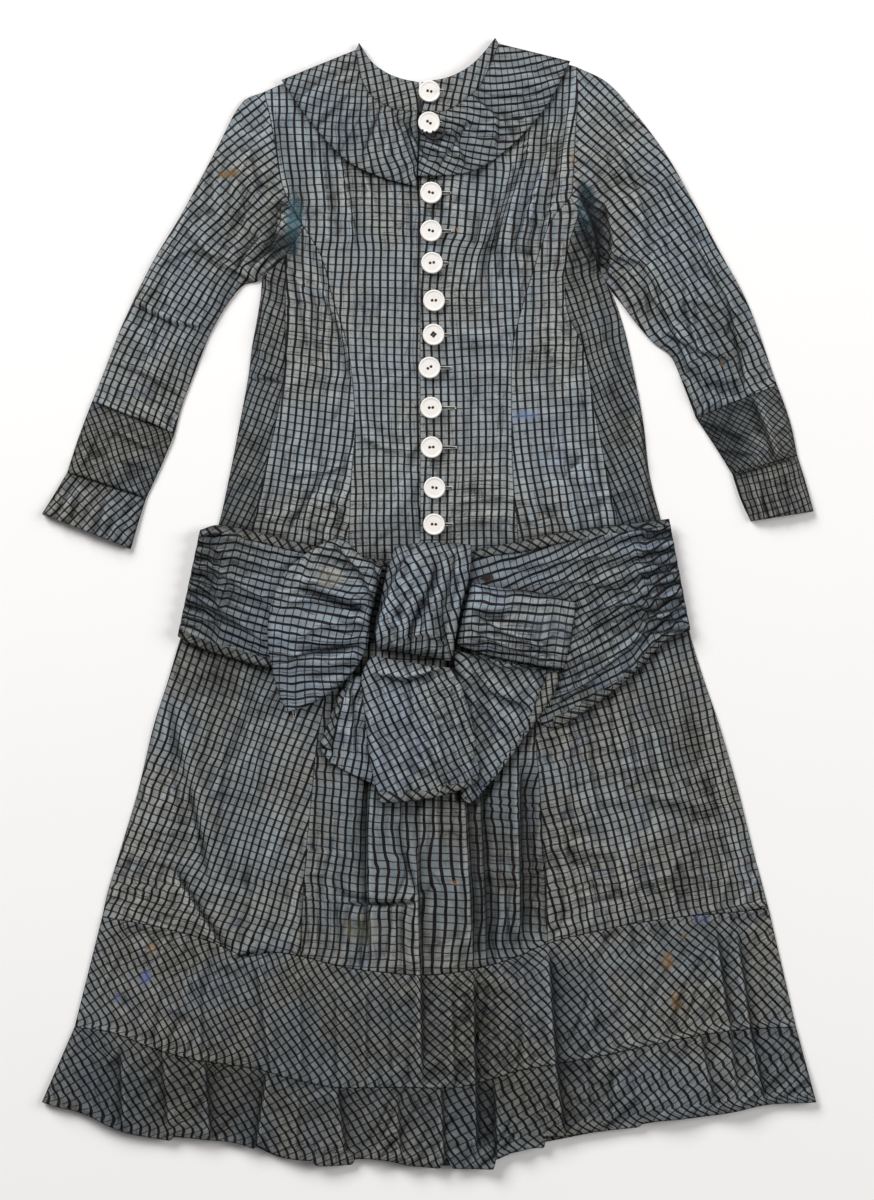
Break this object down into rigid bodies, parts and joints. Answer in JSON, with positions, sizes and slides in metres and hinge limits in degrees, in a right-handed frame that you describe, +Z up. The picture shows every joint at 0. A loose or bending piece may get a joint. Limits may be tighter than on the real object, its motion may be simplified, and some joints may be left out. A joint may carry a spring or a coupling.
{
  "type": "child's dress laid flat",
  "caption": "Child's long-sleeved cotton check dress laid flat, with gathered round collar, buttoned bodice, gathered sash tied in a bow, pleated skirt and bias-cut hem ruffle.",
  "frame": {"origin": "on the surface it lies on, at the middle of the dress's length and width", "axes": "+X across the dress to the right as seen from above, +Y from the hem towards the neck, +Z up from the surface"},
  "size_m": [0.6194, 0.903, 0.0253],
  "materials": {
    "checked_cotton": "woven check cotton, matt with a slight glaze",
    "sash_cotton": "woven check cotton, less faded",
    "button": "polished white shell or glass, slightly worn"
  },
  "bodies": {
    "root": {"band_back": "checked_cotton", "band_front": "checked_cotton", "bodice_back": "checked_cotton", "bodice_front_left": "checked_cotton", "bodice_front_right": "checked_cotton", "bodice_side_front_left": "checked_cotton", "bodice_side_front_right": "checked_cotton", "bodice_side_left": "checked_cotton", "bodice_side_right": "checked_cotton", "bow_knot": "sash_cotton", "bow_left_loop": "sash_cotton", "bow_right_loop": "sash_cotton", "bow_tail_centre": "sash_cotton", "bow_tail_centre_binding": "sash_cotton", "bow_tail_left": "sash_cotton", "bow_tail_left_binding": "sash_cotton", "bow_tail_right": "sash_cotton", "bow_tail_right_binding": "sash_cotton", "button_01": "button", "button_02": "button", "button_03": "button", "button_04": "button", "button_05": "button", "button_06": "button", "button_07": "button", "button_08": "button", "button_09": "button", "button_10": "button", "button_11": "button", "button_12": "button", "collar_left": "checked_cotton", "collar_right": "checked_cotton", "collar_under": "checked_cotton", "cuff_frill_left": "checked_cotton", "cuff_frill_right": "checked_cotton", "cuff_frill_under_left": "checked_cotton", "cuff_frill_under_right": "checked_cotton", "cuff_left": "checked_cotton", "cuff_right": "checked_cotton", "cuff_under_left": "checked_cotton", "cuff_under_right": "checked_cotton", "neckband_left": "checked_cotton", "neckband_right": "checked_cotton", "neckband_under": "checked_cotton", "ruffle_back": "checked_cotton", "ruffle_front": "checked_cotton", "sash_left": "sash_cotton", "sash_left_lower_binding": "sash_cotton", "sash_left_upper_binding": "sash_cotton", "sash_right": "sash_cotton", "sash_right_lower_binding": "sash_cotton", "sash_right_upper_binding": "sash_cotton", "skirt_back": "checked_cotton", "skirt_centre": "checked_cotton", "skirt_left": "checked_cotton", "skirt_right": "checked_cotton", "sleeve_under_left": "checked_cotton", "sleeve_under_right": "checked_cotton", "sleeve_upper_left": "checked_cotton", "sleeve_upper_right": "checked_cotton"}
  },
  "joints": []
}
